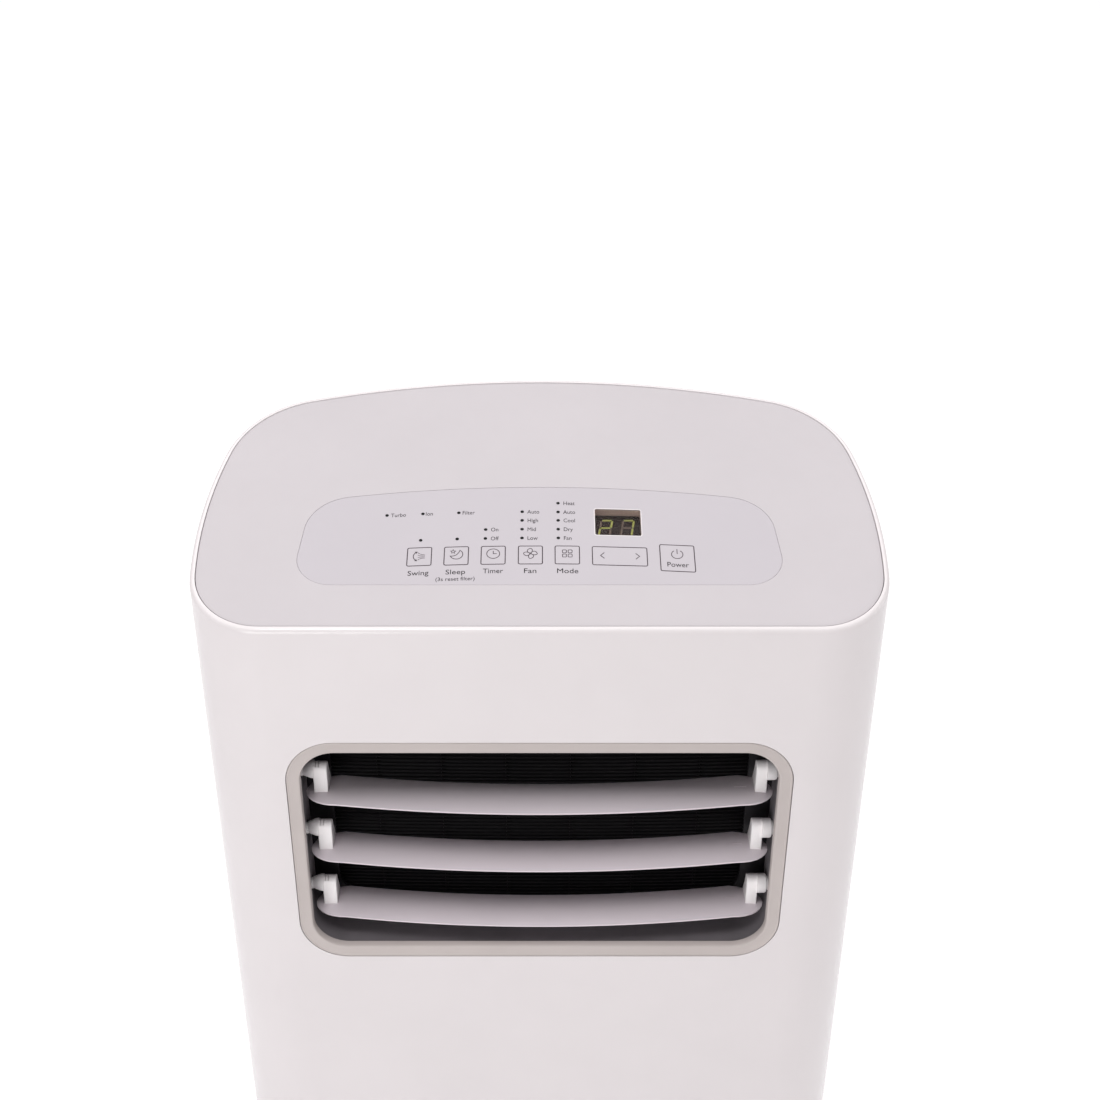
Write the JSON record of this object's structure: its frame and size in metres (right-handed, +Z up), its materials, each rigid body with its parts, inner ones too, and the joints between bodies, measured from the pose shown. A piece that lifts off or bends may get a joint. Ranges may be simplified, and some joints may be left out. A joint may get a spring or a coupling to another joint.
{
  "type": "portable air conditioner",
  "caption": "Slim floor-standing air conditioner and dehumidifier with a tilted control deck, front louvred outlet, rear filter grille, hose collar and casters.",
  "frame": {"origin": "on the floor under the middle of the body's box", "axes": "+X to the right seen from the front, +Y to the back, +Z up; the air outlet faces -Y"},
  "size_m": [0.4036, 0.204, 0.6778],
  "materials": {
    "gloss_white": "glossy moulded ABS",
    "matte_white": "fine matte texture",
    "overlay": "satin printed film",
    "trim_grey": "satin warm grey",
    "louvre_white": "satin white",
    "duct_grey": "grey moulded plastic",
    "black_plastic": "black moulded plastic",
    "smoked_window": "clear tinted lens",
    "circuit_green": "solder-masked board",
    "foam": "moulded foam",
    "fin_metal": "pressed fins",
    "copper": "drawn copper tube",
    "steel_black": "black enamel",
    "galvanised": "zinc plated sheet",
    "rubber": "moulded rubber",
    "filter_grey": "mesh in a moulded frame"
  },
  "bodies": {
    "casing": {"base_pan": "gloss_white", "front_housing": "gloss_white", "rear_housing": "gloss_white", "top_deck": "matte_white", "control_overlay": "overlay", "display_window": "smoked_window", "display_module": "black_plastic", "control_board": "circuit_green", "outlet_trim_ring": "trim_grey", "outlet_duct": "duct_grey", "outlet_grille": "black_plastic", "louvre_motor": "galvanised", "evaporator_coil": "fin_metal", "blower_scroll": "foam", "blower_motor": "galvanised", "drain_tray": "black_plastic", "compressor": "steel_black", "condenser_coil": "fin_metal", "exhaust_scroll": "foam", "exhaust_motor": "galvanised", "exhaust_duct": "foam", "suction_pipe": "copper", "discharge_pipe": "copper", "electrical_box": "galvanised", "lower_grille": "gloss_white", "exhaust_collar": "gloss_white", "cord_gland": "black_plastic", "handle_cup_left": "gloss_white", "handle_cup_right": "gloss_white"},
    "upper_louvre": {"louvre_upper": "louvre_white", "louvre_crank_upper": "louvre_white", "louvre_coupling": "louvre_white"},
    "middle_louvre": {"louvre_middle": "louvre_white", "louvre_crank_middle": "louvre_white"},
    "lower_louvre": {"louvre_lower": "louvre_white", "louvre_crank_lower": "louvre_white"},
    "link_bar": {"louvre_link": "louvre_white"},
    "filter_door": {"filter_cover": "gloss_white", "filter_frame": "filter_grey"},
    "upper_plug": {"drain_plug_upper": "rubber"},
    "lower_plug": {"drain_plug_lower": "rubber"},
    "blower_rotor": {"blower_wheel": "black_plastic"},
    "exhaust_rotor": {"exhaust_wheel": "black_plastic"},
    "swing_key": {"key_swing": "overlay"},
    "sleep_key": {"key_sleep": "overlay"},
    "timer_key": {"key_timer": "overlay"},
    "fan_key": {"key_fan": "overlay"},
    "mode_key": {"key_mode": "overlay"},
    "down_key": {"key_down": "overlay"},
    "up_key": {"key_up": "overlay"},
    "power_key": {"key_power": "overlay"},
    "fork_front_left": {"caster_fork_front_left": "black_plastic"},
    "wheel_front_left": {"caster_wheel_front_left": "rubber"},
    "fork_front_right": {"caster_fork_front_right": "black_plastic"},
    "wheel_front_right": {"caster_wheel_front_right": "rubber"},
    "fork_rear_left": {"caster_fork_rear_left": "black_plastic"},
    "wheel_rear_left": {"caster_wheel_rear_left": "rubber"},
    "fork_rear_right": {"caster_fork_rear_right": "black_plastic"},
    "wheel_rear_right": {"caster_wheel_rear_right": "rubber"}
  },
  "joints": [
    {"name": "louvre_swing", "type": "hinge", "parent": "casing", "child": "upper_louvre", "pos_m": [0, -0.079, 0.5048], "axis": [1, 0, 0], "range_deg": [-85, 4]},
    {"name": "louvre_middle_swing", "type": "hinge", "parent": "casing", "child": "middle_louvre", "pos_m": [0, -0.079, 0.4588], "axis": [1, 0, 0], "range_deg": [-85, 4]},
    {"name": "louvre_lower_swing", "type": "hinge", "parent": "casing", "child": "lower_louvre", "pos_m": [0, -0.079, 0.4128], "axis": [1, 0, 0], "range_deg": [-85, 4]},
    {"name": "louvre_link_pivot", "type": "hinge", "parent": "upper_louvre", "child": "link_bar", "pos_m": [0.1521, -0.069, 0.5048], "axis": [1, 0, 0], "range_deg": [-4, 85]},
    {"name": "filter_door_pull", "type": "slide", "parent": "casing", "child": "filter_door", "axis": [0, 1, 0], "range_m": [0, 0.06]},
    {"name": "upper_plug_pull", "type": "slide", "parent": "casing", "child": "upper_plug", "axis": [0, 1, 0], "range_m": [0, 0.022]},
    {"name": "lower_plug_pull", "type": "slide", "parent": "casing", "child": "lower_plug", "axis": [0, 1, 0], "range_m": [0, 0.022]},
    {"name": "blower_spin", "type": "hinge", "parent": "casing", "child": "blower_rotor", "pos_m": [0, 0, 0.502], "axis": [0, 1, 0], "continuous": true},
    {"name": "exhaust_spin", "type": "hinge", "parent": "casing", "child": "exhaust_rotor", "pos_m": [0.066, 0, 0.174], "axis": [0, 1, 0], "continuous": true},
    {"name": "swivel_front_left", "type": "hinge", "parent": "casing", "child": "fork_front_left", "pos_m": [-0.14, -0.056, 0.045], "axis": [0, 0, 1], "continuous": true},
    {"name": "swivel_front_right", "type": "hinge", "parent": "casing", "child": "fork_front_right", "pos_m": [0.14, -0.056, 0.045], "axis": [0, 0, 1], "continuous": true},
    {"name": "swivel_rear_left", "type": "hinge", "parent": "casing", "child": "fork_rear_left", "pos_m": [-0.126, 0.044, 0.045], "axis": [0, 0, 1], "continuous": true},
    {"name": "swivel_rear_right", "type": "hinge", "parent": "casing", "child": "fork_rear_right", "pos_m": [0.126, 0.044, 0.045], "axis": [0, 0, 1], "continuous": true},
    {"name": "roll_front_left", "type": "hinge", "parent": "fork_front_left", "child": "wheel_front_left", "pos_m": [-0.14, -0.044, 0.018], "axis": [1, 0, 0], "continuous": true},
    {"name": "roll_front_right", "type": "hinge", "parent": "fork_front_right", "child": "wheel_front_right", "pos_m": [0.14, -0.044, 0.018], "axis": [1, 0, 0], "continuous": true},
    {"name": "roll_rear_left", "type": "hinge", "parent": "fork_rear_left", "child": "wheel_rear_left", "pos_m": [-0.126, 0.056, 0.018], "axis": [1, 0, 0], "continuous": true},
    {"name": "roll_rear_right", "type": "hinge", "parent": "fork_rear_right", "child": "wheel_rear_right", "pos_m": [0.126, 0.056, 0.018], "axis": [1, 0, 0], "continuous": true},
    {"name": "press_swing", "type": "slide", "parent": "casing", "child": "swing_key", "axis": [0, 0.2588, -0.9659], "range_m": [0, 0.0005], "stiffness_N_per_m": 800},
    {"name": "press_sleep", "type": "slide", "parent": "casing", "child": "sleep_key", "axis": [0, 0.2588, -0.9659], "range_m": [0, 0.0005], "stiffness_N_per_m": 800},
    {"name": "press_timer", "type": "slide", "parent": "casing", "child": "timer_key", "axis": [0, 0.2588, -0.9659], "range_m": [0, 0.0005], "stiffness_N_per_m": 800},
    {"name": "press_fan", "type": "slide", "parent": "casing", "child": "fan_key", "axis": [0, 0.2588, -0.9659], "range_m": [0, 0.0005], "stiffness_N_per_m": 800},
    {"name": "press_mode", "type": "slide", "parent": "casing", "child": "mode_key", "axis": [0, 0.2588, -0.9659], "range_m": [0, 0.0005], "stiffness_N_per_m": 800},
    {"name": "press_down", "type": "slide", "parent": "casing", "child": "down_key", "axis": [0, 0.2588, -0.9659], "range_m": [0, 0.0005], "stiffness_N_per_m": 800},
    {"name": "press_up", "type": "slide", "parent": "casing", "child": "up_key", "axis": [0, 0.2588, -0.9659], "range_m": [0, 0.0005], "stiffness_N_per_m": 800},
    {"name": "press_power", "type": "slide", "parent": "casing", "child": "power_key", "axis": [0, 0.2588, -0.9659], "range_m": [0, 0.0005], "stiffness_N_per_m": 800}
  ],
  "couplings": [
    {"joint": "louvre_middle_swing", "follows": "louvre_swing", "ratio": 1},
    {"joint": "louvre_lower_swing", "follows": "louvre_swing", "ratio": 1},
    {"joint": "louvre_link_pivot", "follows": "louvre_swing", "ratio": -1}
  ]
}
